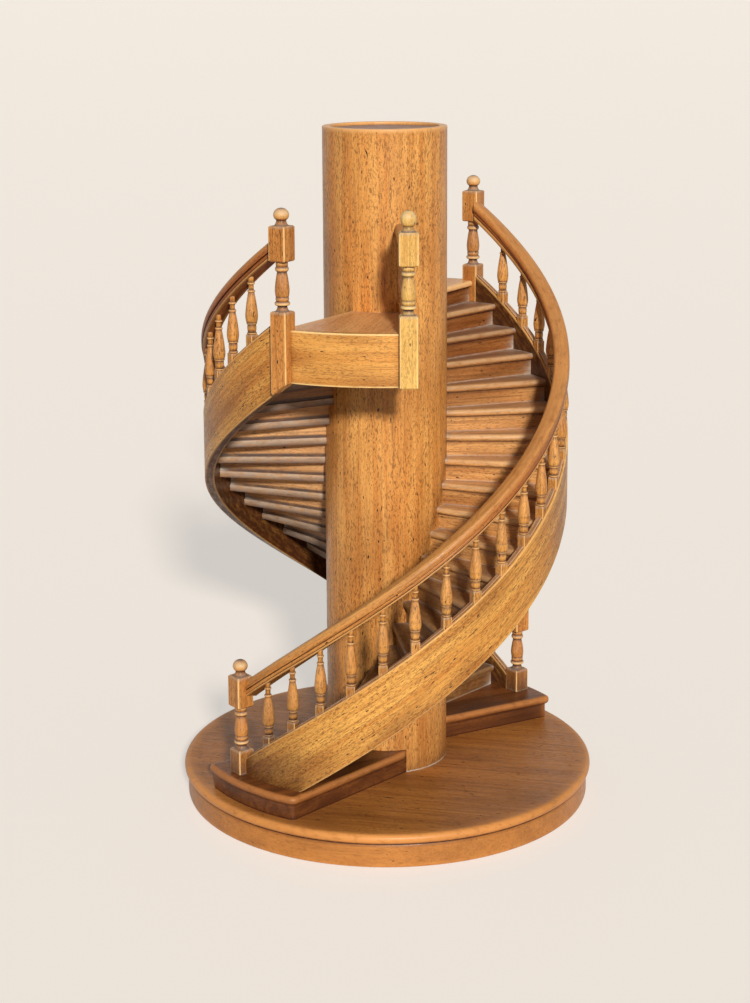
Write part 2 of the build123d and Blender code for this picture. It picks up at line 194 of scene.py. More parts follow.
def assemble(name, tubes, material, stands_for, flight="a"):
    """Joins tubes into one piece that stands for a node of the frame; a star means the flight.

    A tube is a grid of rows, each row a closed loop of points.  Its faces are the quads between
    neighbouring rows and columns; its ends are closed by one face each, or, for a ring, by
    joining the last row to the first.  Its faces are turned outward by the sign of the volume
    that they enclose.  The second flight is the first turned by half a turn: x and y change sign.
    """
    name, stands_for = (text.replace("*", flight) for text in (name, stands_for))
    points, faces, start = [], [], 0
    marks = {"grain": [], "worn": [], "grime_and_shade": [], "dust": []}
    for tube in tubes:
        place = np.array(tube["points"], float)
        if flight == "b":
            place[..., :2] *= -1
        rows, columns = place.shape[:2]
        index = start + np.arange(rows * columns).reshape(rows, columns)
        if tube.get("ring"):
            index = np.vstack([index, index[:1]])
        following = np.roll(index, -1, axis=1)
        quads = np.stack([index[:-1], following[:-1], following[1:], index[1:]], axis=-1).reshape(-1, 4)
        flat = place.reshape(-1, 3)
        a, b, c, d = (flat[quads[:, corner] - start] - flat.mean(0) for corner in range(4))
        volume = (np.cross(b - a, d - a) * (a + b + c + d)).sum()
        made = quads.tolist()
        if not tube.get("ring"):
            made += [index[0, ::-1].tolist(), index[-1].tolist()]
        faces += made if volume > 0 else [face[::-1] for face in made]
        points.append(flat)
        marks["grain"].append(np.broadcast_to(tube["grain"], place.shape).reshape(-1, 3))
        for mark in ("worn", "grime_and_shade", "dust"):
            marks[mark].append(np.broadcast_to(tube.get(mark, 0.0), (rows, columns)).reshape(-1))
        start += rows * columns
    mesh = bpy.data.meshes.new(name)
    mesh.from_pydata(np.vstack(points).tolist(), [], faces)
    for mark, values in marks.items():
        kind, field = ("FLOAT_VECTOR", "vector") if mark == "grain" else ("FLOAT", "value")
        made = mesh.attributes.new(mark, kind, "POINT")
        made.data.foreach_set(field, np.concatenate(values).astype(np.float32).ravel())
    mesh.shade_smooth()
    mesh.set_sharp_from_angle(angle=radians(40))
    mesh.materials.append(material)
    piece = add_object(name, mesh)
    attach(piece, "root")
    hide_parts(stands_for)


def together(*parts):
    """Puts numbers, or grids of them, together as the coordinates of points."""
    return np.stack(np.broadcast_arrays(*parts), axis=-1)


def arc(centre, radius, start, end, steps):
    """Points on an arc in a section, from one angle to another in degrees."""
    turn = np.radians(np.linspace(start, end, steps))
    return together(centre[0] + radius * np.cos(turn), centre[1] + radius * np.sin(turn))


def once_round(columns):
    """Angles evenly spaced round a circle."""
    return np.linspace(0, 2 * pi, columns, endpoint=False)


def round_axis(out, turn, high):
    """Points at a radius, an angle and a height; each of the three can be a number or a grid."""
    return together(out * np.cos(turn), out * np.sin(turn), high)


def swung(x, y, angle):
    """The place x, y after a turn about the axis by an angle."""
    return x * cos(angle) - y * sin(angle), x * sin(angle) + y * cos(angle)


def board_grain(points, heading, shift=0.0):
    """Grain coordinates of a board in plan whose fibres run at a heading."""
    along, over = swung(points[..., 0], points[..., 1], -heading)
    return together(over, points[..., 2], along) + shift


def ripple(turn, random, waves, size):
    """A closed uneven line round a circle: a sum of sines of random phase, as high as size."""
    total = 0 * turn
    for count in range(1, waves):
        total = total + random.uniform(0.3, 1.0) * np.sin(count * turn + random.uniform(0, 2 * pi))
    return size * total / np.abs(total).max()


base_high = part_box("base_board")[1]
base_radius = base_high.x
base_top = base_high.z
nosing = 0.008
plinth_inset = 0.003
groove = 0.0006
groove_height = 0.0007
plinth = base_radius - plinth_inset
nosing_low = base_top - nosing
groove_low = nosing_low - groove_height
half_round = arc((base_radius - nosing / 2, base_top - nosing / 2), nosing / 2, -90, 90, 15)
base_section = np.vstack([
    [(plinth - 0.006, 0), (plinth - 0.0015, 0), (plinth - 0.0004, 0.0004), (plinth, 0.0015)],
    [(plinth, 0.004), (plinth, 0.012), (plinth, groove_low - 0.003)],
    [(plinth, groove_low - 0.0006), (plinth - 0.0005, groove_low)],
    [(plinth - groove, groove_low), (plinth - groove, nosing_low)],
    half_round,
    [(base_radius - nosing / 2 - 0.002, base_top), (base_radius - 0.012, base_top)],
])
base_rows = np.arange(len(base_section))
base_worn = np.interp(
    base_rows, [0, 1, 3, 4, 6, 8, 11, 16, 22, 25, 27], [0, 0.7, 0.7, 0.4, 0.4, 0, 0.1, 1, 1, 0.7, 0]
)
# Painted shade darkens the groove and the underside of the nosing above it.
base_groove_shade = np.interp(base_rows, [0, 6, 7, 8, 11, 12, 14], [0, 0, 0.3, 1, 1, 0.5, 0])
around = once_round(320)
random = np.random.default_rng(11)
dents = -np.abs(ripple(around, random, 90, 0.0004)) * np.clip(ripple(around, random, 9, 1.4), 0, 1)
dented = base_section[:, :1] + dents * base_worn[:, None]
base_points = round_axis(dented, around, base_section[:, 1:])
base_wood = wood(
    "base_wood", (196, 128, 60), (172, 107, 48), (108, 63, 27), (230, 156, 84), flecks=0.3, streaks=0.3
)
base_tube = {
    "points": base_points,
    "grain": board_grain(base_points, radians(-12)),
    "worn": base_worn[:, None] * (0.75 + ripple(around, random, 12, 0.25)),
    "grime_and_shade": base_groove_shade[:, None],
}
assemble("turned_base_board", [base_tube], base_wood, "base_board")

# ---- centre drum -------------------------------
# One hollow hardwood cylinder, planed and scraped true, its grain upright, glued down on the base
# board.  Its rim is rounded and rubbed.  Painted shade darkens it along both flights where the
# steps meet it, at its foot and down its inner wall, so the facts of the climb are worked out
# here: the first flight's angles, rise and going.


def newel_place(which):
    """How far out a newel of the first flight stands, and its angle, past one turn."""
    low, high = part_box(f"newel_{which}_a")
    place = (low + high) / 2
    return hypot(place.x, place.y), atan2(place.y, place.x) + 2 * pi


newel_radius, foot_angle = newel_place("foot")
head_angle = newel_place("head")[1]
end_angle = newel_place("landing")[1]
rises = 20
if head_angle < foot_angle:
    head_angle += 2 * pi
    end_angle += 2 * pi
sweep = head_angle - foot_angle
going = sweep / rises
first_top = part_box("first_step_board_a")[1].z
landing_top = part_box("landing_floor_a")[1].z
rise = (landing_top - first_top) / rises
climb = rise / going

drum_low, drum_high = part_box("drum")
drum_radius = drum_high.x
drum_top = drum_high.z
drum_foot = drum_low.z
drum_wall = 0.0065
rim = 0.0009
drum_inner = drum_radius - drum_wall
levels = np.linspace(drum_foot + 0.003, drum_top - 0.004, 140)
drum_section = np.vstack([
    [(drum_radius, drum_foot), (drum_radius, drum_foot + 0.0006), (drum_radius, drum_foot + 0.0012)],
    together(drum_radius, levels),
    arc((drum_radius - rim, drum_top - rim), rim, 0, 90, 6),
    arc((drum_inner + rim, drum_top - rim), rim, 90, 180, 6),
    [(drum_inner, drum_top - 0.004), (drum_inner, drum_foot + 0.03), (drum_inner, drum_foot)],
])
drum_out, drum_up = drum_section[:, :1], drum_section[:, 1:]
drum_turn = once_round(192)
drum_points = round_axis(drum_out, drum_turn, drum_up)
drum_worn = np.zeros(len(drum_section))
drum_worn[len(levels) + 3 : -3] = 0.9
shade_reach = 0.012
shade_over_steps = 0.004
# Painted shade: darker at the foot, and along each flight just above the steps where they meet the drum.
drum_painted_shade = 0.6 * np.exp(-(drum_up - drum_foot) / shade_reach) * np.ones(len(drum_turn))
for lap in (0, pi, 2 * pi, 3 * pi):
    along = drum_turn + lap - foot_angle
    over_steps = drum_up - (first_top + climb * along)
    beside_flight = (along > -going) & (along < sweep)
    close = np.exp(-np.abs(over_steps - shade_over_steps) / shade_reach) * beside_flight
    drum_painted_shade = np.maximum(drum_painted_shade, 0.62 * close)
# Painted shade down the inner wall of the hollow drum.
drum_painted_shade[-3:] = np.array([0.5, 0.8, 1.0])[:, None]
drum_dust = np.where(drum_up < drum_foot + 0.0007, 0.9, 0.0)
drum_wood = wood(
    "drum_wood", (242, 176, 96), (220, 145, 70), (138, 80, 34), (236, 176, 110),
    flecks=0.54, streaks=0.3, gloss=0.34,
)
drum_tube = {
    "points": drum_points,
    "grain": drum_points,
    "worn": drum_worn[:, None],
    "grime_and_shade": drum_painted_shade,
    "dust": drum_dust,
    "ring": True,
}
assemble("centre_drum", [drum_tube], drum_wood, "drum")

# ---- drum lid ----------------------------------
# A thin turned disc of darker wood, let into the drum just below its rim.  Its edge is eased, and
# grey dust lies where it meets the wall.

lid_low, lid_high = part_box("drum_lid")
lid_edge = 0.0004
lid_section = np.array([
    (lid_high.x - 0.002, lid_low.z),
    (lid_high.x, lid_low.z),
    (lid_high.x, lid_high.z - lid_edge),
    (lid_high.x - lid_edge, lid_high.z),
    (lid_high.x - 0.003, lid_high.z),
    (0.02, lid_high.z),
])
lid_points = round_axis(lid_section[:, :1], once_round(128), lid_section[:, 1:])
lid_wood = wood("lid_wood", (150, 88, 48), (122, 68, 36), (84, 46, 25), (170, 108, 66))
lid_tube = {
    "points": lid_points,
    "grain": lid_points[..., [1, 2, 0]],
    "dust": np.array([0, 0, 0.4, 0.6, 0.2, 0.0])[:, None],
}
assemble("drum_lid_board", [lid_tube], lid_wood, "drum_lid")

# ---- first steps -------------------------------
# Each flight starts on a wide first step of dark wood, glued to the base board: a block set back
# under a thick board with a round edge.  Both are sawn to one outline, whose front is radial and
# whose back runs almost at a tangent to the drum.

first_board = 0.0072
first_overhang = 0.0033
first_round = 0.0032
string_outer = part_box("string_a")[1].x
first_reach = string_outer + 0.011
first_front = foot_angle - going
first_back = radians(46.8)
first_back_offset = 0.045
front_round = 0.0015
back_round = 0.004


def unit(vectors):
    """Vectors brought to a length of one."""
    return vectors / np.linalg.norm(vectors, axis=-1, keepdims=True)


def corner(before, at, after, radius, steps):
    """Rounds a corner of an outline: an arc that touches both of its sides."""
    one, two = unit(before - at), unit(after - at)
    half = np.arccos(np.clip(one @ two, -1, 1)) / 2
    middle = at + unit(one + two) * radius / np.sin(half)
    first, last = at + one * radius / np.tan(half), at + two * radius / np.tan(half)
    share = np.linspace(0, 1, steps)[:, None]
    return middle + radius * unit(first * (1 - share) + last * share - middle)


def on_circle(radius, turn):
    """Places in plan at a radius and at one angle or more."""
    return round_axis(radius, turn, 0.0)[..., :2]


back_line = first_back + pi
back_turn = back_line + np.arcsin(first_back_offset / first_reach)
run_back = sqrt(drum_radius**2 - first_back_offset**2)
back_at_drum = on_circle(first_back_offset, first_back - pi / 2) + on_circle(run_back, back_line)
front_at_drum = on_circle(drum_radius, first_front)
front_corner = on_circle(first_reach, first_front)
back_corner = on_circle(first_reach, back_turn)
rim_line = on_circle(first_reach, np.linspace(first_front, back_turn, 60))
drum_from, drum_to = (atan2(place[1], place[0]) + 2 * pi for place in (back_at_drum, front_at_drum))
drum_line = on_circle(drum_radius, np.linspace(drum_from, drum_to, 20))
share = np.linspace(0, 1, 24)[:, None]
front_side = corner(front_at_drum, front_corner, rim_line[2], front_round, 7)
back_side = corner(rim_line[-3], back_corner, back_at_drum, back_round, 9)
first_outline = np.vstack([
    front_at_drum * (1 - share[:-1]) + front_side[0] * share[:-1],
    front_side,
    rim_line[2:-2],
    back_side,
    (back_side[-1] * (1 - share) + back_at_drum * share)[1:],
    drum_line[1:-1],
])
free = (np.linalg.norm(first_outline, axis=1) > drum_radius + 0.0004).astype(float)
tangent = np.roll(first_outline, -1, axis=0) - np.roll(first_outline, 1, axis=0)
outward = unit(together(tangent[:, 1], -tangent[:, 0]))


def stepped(rows):
    """The first step's outline, moved outward by each row's reach at each row's height."""
    plan = first_outline + outward * rows[:, :1, None] * free[:, None]
    return np.dstack([plan, np.broadcast_to(rows[:, 1, None], plan.shape[:2])])


board_low = first_top - first_board
edge = first_overhang - first_round
block_rows = np.array([(0, base_top), (0, base_top + 0.002), (0, board_low - 0.002), (0, board_low)])
board_rows = np.vstack([
    [(edge - 0.0011, board_low), (edge - 0.0004, board_low)],
    arc((edge, board_low + first_round), first_round, -90, 0, 8),
    arc((edge, first_top - first_round), first_round, 0, 90, 8),
    [(edge - 0.0004, first_top), (edge - 0.0011, first_top)],
])
board_worn = np.interp(np.arange(len(board_rows)), [0, 6, 11, 15, 19], [0, 0, 0.7, 0.7, 0])
# The colour above darkens the steps high up, in part as painted shade from the rail.
step_wood = wood(
    "step_wood", (238, 178, 108), (206, 142, 78), (116, 70, 35), (240, 188, 124),
    flecks=0.4, streaks=0.5, above=((176, 150, 128), 0.30, 0.38),
)
first_step_wood = wood(
    "first_step_wood", (150, 90, 43), (108, 61, 28), (46, 24, 11), (192, 124, 64), patch=0.7, flecks=0.35
)
corner_worn = 0.8 * np.exp(-np.linalg.norm(first_outline - front_side[3], axis=1) / 0.0025)
for flight, shift in (("a", 0.0), ("b", 0.4)):
    block = stepped(block_rows)
    board = stepped(board_rows)
    block_tube = {
        "points": block,
        "grain": board_grain(block, first_front, shift),
        "worn": corner_worn,
        # The block is darkened all over, and most at its foot and just under the board, where the darkening
        # is painted shade; the rubbed corner is spared.
        "grime_and_shade": np.array([1, 0.45, 0.45, 0.95])[:, None] * (1 - 0.7 * corner_worn),
    }
    board_tube = {
        "points": board,
        "grain": board_grain(board, first_front, shift) + 0.1,
        "worn": board_worn[:, None] * free + 0.3 * corner_worn,
    }
    for node, tube in (("first_step_block_*", block_tube), ("first_step_board_*", board_tube)):
        assemble(f"{node}_planed", [tube], first_step_wood, node, flight)

# ---- treads and risers -------------------------
# Nineteen winders and twenty risers a flight, sawn from thin hardwood and let in between the drum
# and the string.  Feet have not worn them, but dusting has: the nosings are rubbed pale and the
# corners hold grey dust.  Painted shade darkens the lowest steps, the tops of the risers under the
# nosings, the edges of the risers' backs, and the treads' undersides at their ends and backs.

string_thickness = 0.008
string_inner = string_outer - string_thickness
tread_thickness = 0.0054
tread_tail = 0.0045
overhang = 0.003
nosing_round = 0.0023
riser_thickness = 0.003
reach = string_inner - 0.00005
low_shade_height = 0.25
low_shade_fade = 0.08
riser_dust = 0.0014
wall_dust = 0.0016
corner_dust = 0.008
end_dust = 0.0036


def near_ends(low, high, steps):
    """Places from low to high, with extra ones close to both ends."""
    fine = np.array([0.0008, 0.002, 0.004])
    middle = np.linspace(low + fine[-1], high - fine[-1], steps)[1:-1]
    return np.concatenate([[low], low + fine, middle, high - fine[::-1], [high]])


def winder(
    front, back, low, high, round_low, round_high, lead, tail, steps=12, wave=0.0, farthest=None, face=()
):
    """A wedge of a board between the drum and the string.

    Rows go out along the radius, as far as farthest.  Each row is a loop in the plane of the
    radius's circle: the round nosing, the top, the back and the underside.  The nosing's points
    lie so far behind the front line, which is radial, moved forward by lead and made uneven by
    wave; the rest share out the turn from there to the back line, which is moved back by tail.
    Face lists shares of the thickness where front and back have points of their own.
    """
    waves_per_metre = 55
    out = near_ends(drum_radius, farthest or reach, 22)[:, None]
    thick = high - low
    nosing_loop = np.vstack([
        arc((round_low, round_low), round_low, 270, 180, 6),
        np.array([(0.0, thick * share) for share in face]).reshape(-1, 2),
        arc((round_high, thick - round_high), round_high, 180, 90, 6),
    ])
    share = np.linspace(0.0, 1.0, steps)
    on_back = np.ones(len(face))
    part = np.concatenate([np.zeros(len(nosing_loop)), share, on_back, share[::-1]])
    behind = np.concatenate([nosing_loop[:, 0], np.full(2 * steps + len(face), round_high + 0.0015)])
    back_up = thick * np.array(face[::-1])
    up = np.concatenate([nosing_loop[:, 1], np.full(steps, thick), back_up, np.zeros(steps)])
    first = front - np.arcsin((lead + wave * np.sin(waves_per_metre * out)) / out)
    last = back + np.arcsin(tail / out)
    turn = (first + behind / out) * (1 - part) + last * part
    return round_axis(out, turn, low + up), part, behind, up


# How worn a tread is, point by point round its loop: on the nosing, and a little on the top.
lip = np.pad([0.5, 0.9, 1, 1, 1, 1, 0.9, 0.6, 0.2], (5, 22))
for flight in "ab":
    random = np.random.default_rng(ord(flight))
    treads, risers = [], []
    for count in range(rises):
        front = foot_angle + going * (count + 1)
        under = first_top + rise * count
        over = under + rise - tread_thickness
        settle = random.uniform(-0.0001, 0.0001)
        shift = random.uniform(-2, 2, 3)
        points, part, _, up = winder(
            front, front, under, over, 0.0001, 0.0001, -settle, riser_thickness, steps=4,
            face=(0.03, 0.08, 0.14, 0.25, 0.75, 0.85, 0.92, 0.97),
        )
        high = up / (over - under)
        rear = part > 0.9
        outer_end = reach - np.hypot(points[..., 0], points[..., 1])
        # The lowest steps are darkened, in part as painted shade from the rail and string.
        low_step_shade = 0.75 * np.clip((low_shade_height - over) / low_shade_fade, 0, 1)
        # Painted shade at the riser's top, under the nosing of the tread above.
        under_nosing_shade = np.clip((high - 0.8) / 0.2, low_step_shade, 0.8)
        foot_dust = np.clip(1 - high / 0.12, 0, 1) * 0.55 * (1 - rear)
        side_dust = 1.1 * np.exp(-outer_end / end_dust) * (1.1 - high)
        risers.append({
            "points": points,
            "grain": board_grain(points, front, shift),
            # The riser's back is darkened along its top and bottom edges: painted shade in the gaps beside
            # the treads.
            "grime_and_shade": np.maximum(under_nosing_shade, rear * (np.abs(high - 0.5) > 0.35)),
            "dust": foot_dust + 0.12 * rear + side_dust,
        })
        if count == rises - 1:
            continue
        points, part, behind, up = winder(
            front, front + going, over + settle, over + settle + tread_thickness,
            nosing_round * 0.8, nosing_round * random.uniform(0.95, 1.15), overhang + settle,
            tread_tail, wave=random.uniform(-0.00015, 0.00015),
        )
        out = np.hypot(points[..., 0], points[..., 1])
        riser_gap = (1 - part) * (going * out + tread_tail + overhang - behind) - tread_tail
        riser_gap = np.maximum(riser_gap, 0)
        wall = np.minimum(out - drum_radius, reach - out)
        corner_gap = np.hypot(riser_gap, reach - out)
        top = up > tread_thickness / 2
        underside = up < 0.001
        dust = 0.7 * np.exp(-riser_gap / riser_dust) + 2 * np.exp(-corner_gap / corner_dust)
        dust = (dust + 0.2 - 0.26 * low_step_shade) * top + np.exp(-wall / wall_dust) * (up > 0.003)
        # Painted shade under the tread, at its ends by drum and string and along its back.
        under_tread_shade = underside * np.maximum(0.6 * np.exp(-wall / 0.004), part > 0.9)
        treads.append({
            "points": points,
            "grain": board_grain(points, front + going / 2, shift + 0.3),
            "worn": lip * np.clip(wall / 0.006, 0, 1) * random.uniform(0.25, 0.55),
            "dust": np.clip(dust, 0, 1) * 0.75 + 0.12 * underside,
            "grime_and_shade": np.maximum(low_step_shade, under_tread_shade),
        })
    assemble("winders_*", treads, step_wood, "treads_*", flight)
    assemble("riser_boards_*", risers, step_wood, "risers_*", flight)

# ---- outer strings -----------------------------
# A hardwood ribbon on edge that climbs as a true screw, cut from the solid, its grain along the
# climb.  It stands on the first step and runs between the foot and head newels, dirtiest low down.


def run(path, side, section, shift, worn, grime_and_shade=0.0, dust=0.0, floor=-np.inf):
    """Carries an upright section along a path.

    A section point is so far out to the side and so far up from the path.  The grain runs along
    the path's length, and no point goes below the floor.
    """
    place = path[:, None, :] + side[:, None, :] * section[:, 0, None]
    place[..., 2] = np.maximum(place[..., 2] + section[:, 1], floor)
    length = np.concatenate([[0], np.cumsum(np.linalg.norm(np.diff(path, axis=0), axis=1))])
    height = place[..., 2] - path[:, None, 2]
    grain = together(section[:, 0], height, length[:, None]) + shift
    return {"points": place, "grain": grain, "worn": worn, "grime_and_shade": grime_and_shade, "dust": dust}


def eased(left, right, low, high, ease):
    """A rectangle with small round corners, as a loop, and how worn each of its points is."""
    beside = 0.0011
    loop = []
    for x, y, turn in ((right, low, -90), (right, high, 0), (left, high, 90), (left, low, 180)):
        middle = (x - ease if x == right else x + ease, y - ease if y == high else y + ease)
        edge = arc(middle, ease, turn, turn + 90, 4)
        sides = np.radians([turn, turn + 90])
        ahead = beside * together(-np.sin(sides), np.cos(sides))
        loop += [edge[0] - ahead[0], *edge, edge[-1] + ahead[1]]
    return np.array(loop), np.tile([0.0, 1, 1, 1, 1, 0], 4)


def screw(radius, start, end, height_at_foot, steps):
    """A climbing path at a radius, with the outward direction at each of its points."""
    turn = np.linspace(start, end, steps)
    side = round_axis(1.0, turn, 0.0)
    path = side * radius
    path[:, 2] = height_at_foot + climb * (turn - foot_angle)
    return path, side


string_middle = string_outer - string_thickness / 2
string_top = first_top + 0.0092
string_depth = 0.0555
newel_square = 0.0142
newel_half = newel_square / 2 / newel_radius
string_wood = wood(
    "string_wood", (246, 184, 94), (212, 140, 62), (132, 76, 32), (248, 200, 128),
    patch=0.7, flecks=0.58, streaks=0.42,
)
string_loop, string_worn = eased(-string_thickness / 2, string_thickness / 2, -string_depth, 0, 0.0007)
string_path, string_side = screw(
    string_middle, foot_angle + newel_half, head_angle - newel_half, string_top, 260
)
string_run = np.linspace(0, climb * sweep, len(string_path))[:, None]
inner_face = (string_loop[:, 0] < -0.0035).astype(float)
underneath = string_loop[:, 1] < 0.0005 - string_depth
low_share = np.clip(1.2 + string_loop[:, 1] / string_depth, 0.3, 1)
foot_dirt = 0.85 * np.exp(-string_run / 0.022) * low_share
string_grime = np.maximum(0.95 * np.maximum(inner_face, underneath), foot_dirt)
string_grime = string_grime * (1 - 0.4 * string_worn)
string_rubbed = string_worn * (0.55 + 0.2 * inner_face)
for flight, shift in (("a", 0.0), ("b", 1.3)):
    tube = run(string_path, string_side, string_loop, shift, string_rubbed, floor=first_top)
    near_floor = np.exp(-(tube["points"][..., 2] - first_top) / 0.007)
    tube["grime_and_shade"] = np.maximum(string_grime, 0.75 * near_floor * (1 - 0.5 * string_worn))
    assemble("screw_string_*", [tube], string_wood, "string_*", flight)

# ---- newels ------------------------------------
# Each newel is turned from one square stick of hardwood: a square base, a turned waist, a square
# head that takes the rail, and a ball over a hollow.  Where the lathe did not reach, the square is
# left.  The newel at the landing's end is of a paler wood.

newel_head_square = 0.015
newel_edge = 0.0009
# Turned shapes from the foot up: a height, then the radii at its foot, half way and at its top.
waist_foot = [
    (0.0047, 0.0055, 0.0041, 0.0038),
    (0.0028, 0.0052, 0.0060, 0.0052),
    (0.0005, 0.0046, 0.0046, 0.0046),
    (0.0035, 0.0047, 0.0052, 0.0047),
    (0.0054, 0.0051, 0.0055, 0.00565),
]
waist_top = [
    (0.0039, 0.0043, 0.0053, 0.0043),
    (0.0034, 0.0045, 0.0047, 0.0045),
    (0.0005, 0.0040, 0.0040, 0.0040),
]
finial_cove = (0.0042, 0.0058, 0.0043, 0.0038)
ball_foot_share = 0.42
UNCUT = 1.0


def lathe_rows(shapes, start):
    """Rows of a turned length, each a height, a radius and an uncut square.

    A shape is a height and the radii at its foot, half way and at its top: its rows lie on the
    arc of the circle through those three points, or on a straight line.
    """
    rows = []
    for height, low, middle, high in shapes:
        steps = max(5, int(height / 0.0005)) + 1
        foot, half, top = np.array([(low, 0), (middle, height / 2), (high, height)])
        if abs(middle - (low + high) / 2) < 1e-6:
            place = foot + (top - foot) * np.linspace(0, 1, steps)[:, None]
        else:
            squares = [half @ half - foot @ foot, top @ top - foot @ foot]
            centre = np.linalg.solve(2 * np.array([half - foot, top - foot]), squares)
            spokes = np.array([foot, half, top]) - centre
            turn = np.unwrap(np.arctan2(spokes[:, 1], spokes[:, 0]))
            place = arc(centre, hypot(*spokes[0]), degrees(turn[0]), degrees(turn[2]), steps)
        rows.append(together(start + place[:, 1], place[:, 0], UNCUT))
        start += height
    return np.vstack(rows)


def square_rows(half, low, high, chamfer):
    """Rows of a square length with bevelled ends."""
    heights = [low, low, low + chamfer, low + 0.0025, high - 0.0025, high - chamfer, high, high]
    return together(heights, UNCUT, half - chamfer * np.array([2, 1, 0, 0, 0, 0, 1, 2]))


def post(rows, place, heading, columns, seed, foot=-np.inf, top=np.inf, slope=0.0, fall=0.0, soil=0.0):
    """A post from a square stick: at each height the outline is the lesser of square and circle.

    The square of half side h is h over the norm of the direction, with a high power that rounds
    its corners; the columns crowd towards those corners.  A foot or a top at a stated height
    tilts the rows near it with the climb, and the top also with the fall of the rail.  Soil says
    how dirty its lowest three centimetres are.
    """
    foot_tilt, top_tilt = 0.006, 0.0025
    deepest, soil_height, power = 0.0005, 0.022, 18
    random = np.random.default_rng(seed)
    turn = once_round(columns)
    turn = turn + 0.2 * np.sin(4 * turn)
    across, over = np.cos(turn), np.sin(turn)
    norm = (np.abs(across) ** power + np.abs(over) ** power) ** (1 / power)
    height, lathe, half = rows[:, 0, None], rows[:, 1, None], rows[:, 2, None]
    radius = np.minimum(lathe, half / norm)
    x, y = radius * across, radius * over
    z = height + slope * y * np.clip(1 - (height - foot) / foot_tilt, 0, 1)
    z = z + (slope * y + fall * x) * np.clip(1 - (top - height) / top_tilt, 0, 1)
    mean = radius.mean(1)
    smooth = np.convolve(np.pad(mean, 4, "edge"), np.ones(9) / 9, "valid")
    hollow = (smooth - mean)[:, None] / deepest
    beside = np.maximum(np.roll(hollow, 1, axis=0), np.roll(hollow, -1, axis=0))
    hollow = np.maximum(hollow, 0.7 * beside)
    edge = np.clip(1 - np.abs(np.abs(across) - np.abs(over)) / 0.16, 0, 1)
    squared = half / norm < lathe
    low_dirt = soil * np.clip(1.4 - (height - height.min()) / soil_height, 0, 1)
    ledge = np.clip((mean - np.append(mean[1:], 0)) / 0.0004, 0, 1)[:, None]
    east, north = swung(x, y, heading)
    return {
        "points": together(place[0] + east, place[1] + north, place[2] + z),
        "grain": together(x, y, z) + random.uniform(-2, 2, 3),
        "worn": np.where(squared, edge, np.clip(-1.3 * hollow, 0, 1)),
        "grime_and_shade": np.where(squared, low_dirt * (1 - edge), np.clip(hollow + low_dirt, 0, 1)),
        "dust": 0.4 * ledge + 0.02 * low_dirt + soil * np.exp((height.min() - height) / 0.0008),
    }


def newel_rows(low, base_high, waist, head, finial):
    """Rows of a whole newel, from the foot of its base to the top of its ball."""
    vase_neck = waist - sum(shape[0] for shape in waist_foot + waist_top)
    ball = finial - finial_cove[0]
    head_low = base_high + waist
    turned = waist_foot + [(vase_neck, 0.00565, 0.0049, 0.0037)] + waist_top
    ball_shapes = [
        finial_cove,
        (ball * ball_foot_share, 0.0039, 0.0056, 0.0061),
        (ball * (1 - ball_foot_share), 0.0061, 0.0053, 0.0002),
    ]
    return np.vstack([
        square_rows(newel_square / 2, low, base_high, newel_edge),
        lathe_rows(turned, base_high),
        square_rows(newel_head_square / 2, head_low, head_low + head, newel_edge),
        lathe_rows(ball_shapes, head_low + head),
    ])


newel_wood = wood(
    "newel_wood", (236, 164, 88), (208, 134, 62), (118, 68, 32), (248, 202, 134), flecks=0.5
)
pale_newel_wood = wood(
    "pale_newel_wood", (252, 208, 120), (238, 184, 96), (176, 120, 54), (254, 218, 146), flecks=0.35
)
end_row_lean = radians(4.7)
end_heading = end_angle - end_row_lean
landing_base = landing_top + 0.0143
string_low = string_top + climb * sweep - string_depth
fascia_low = landing_top - 0.0415
# Angle, heading, foot and top of the base; heights of waist, head and finial; and the wood.
newels = (
    ("foot", foot_angle, foot_angle, first_top, first_top + 0.0205, (0.0364, 0.0260, 0.0134), newel_wood),
    ("head", head_angle, head_angle, string_low, landing_base, (0.0385, 0.0272, 0.0135), newel_wood),
    ("landing", end_angle, end_heading, fascia_low, landing_base, (0.0374, 0.0256, 0.0165), pale_newel_wood),
)
for flight in "ab":
    for number, (which, angle, heading, low, base_high, lengths, finish) in enumerate(newels):
        tube = post(
            newel_rows(low, base_high, *lengths),
            (*on_circle(newel_radius, angle), 0),
            heading,
            64,
            seed=number + 10 * ord(flight),
            foot=low if which == "head" else -np.inf,
            slope=climb / newel_radius,
            soil=0.8 if which == "foot" else 0.0,
        )
        assemble(f"turned_newel_{which}_*", [tube], finish, f"newel_{which}_*", flight)

# ---- balusters ---------------------------------
# Nineteen a flight, turned by hand from thin square sticks, so no two are quite alike: a square
# foot on the string, a vase between rings, and a thin neck under the rail.

baluster_count = 19
baluster_radius = string_outer - 0.0045
baluster_square = 0.007
baluster_block = 0.008
first_gap = radians(11.45)
baluster_pitch = radians(9.755)
rail_radius = string_outer - 0.0061
rail_above_string = 0.0516
level_rail_above_string = 0.0515
rail_width = 0.0132
rail_depth = 0.0154
rail_fall = 0.0022
rail_fillet_inset = 0.0012
underside_slope = rail_fall / (rail_width - 2 * rail_fillet_inset)
rail_over_baluster = rail_above_string + (baluster_radius - rail_radius) * underside_slope
baluster_shapes = [
    (0.0017, 0.0035, 0.0038, 0.0035),
    (0.0063, 0.0031, 0.0036, 0.0033),
    (0.0016, 0.0037, 0.0042, 0.0037),
    (0.0060, 0.0042, 0.00485, 0.0049),
    (0.0177, 0.0049, 0.0039, 0.0024),
    (0.0018, 0.0025, 0.0030, 0.0025),
    (0.0044, 0.0020, 0.0020, 0.0020),
    (0.0016, 0.0025, 0.0029, 0.0025),
]


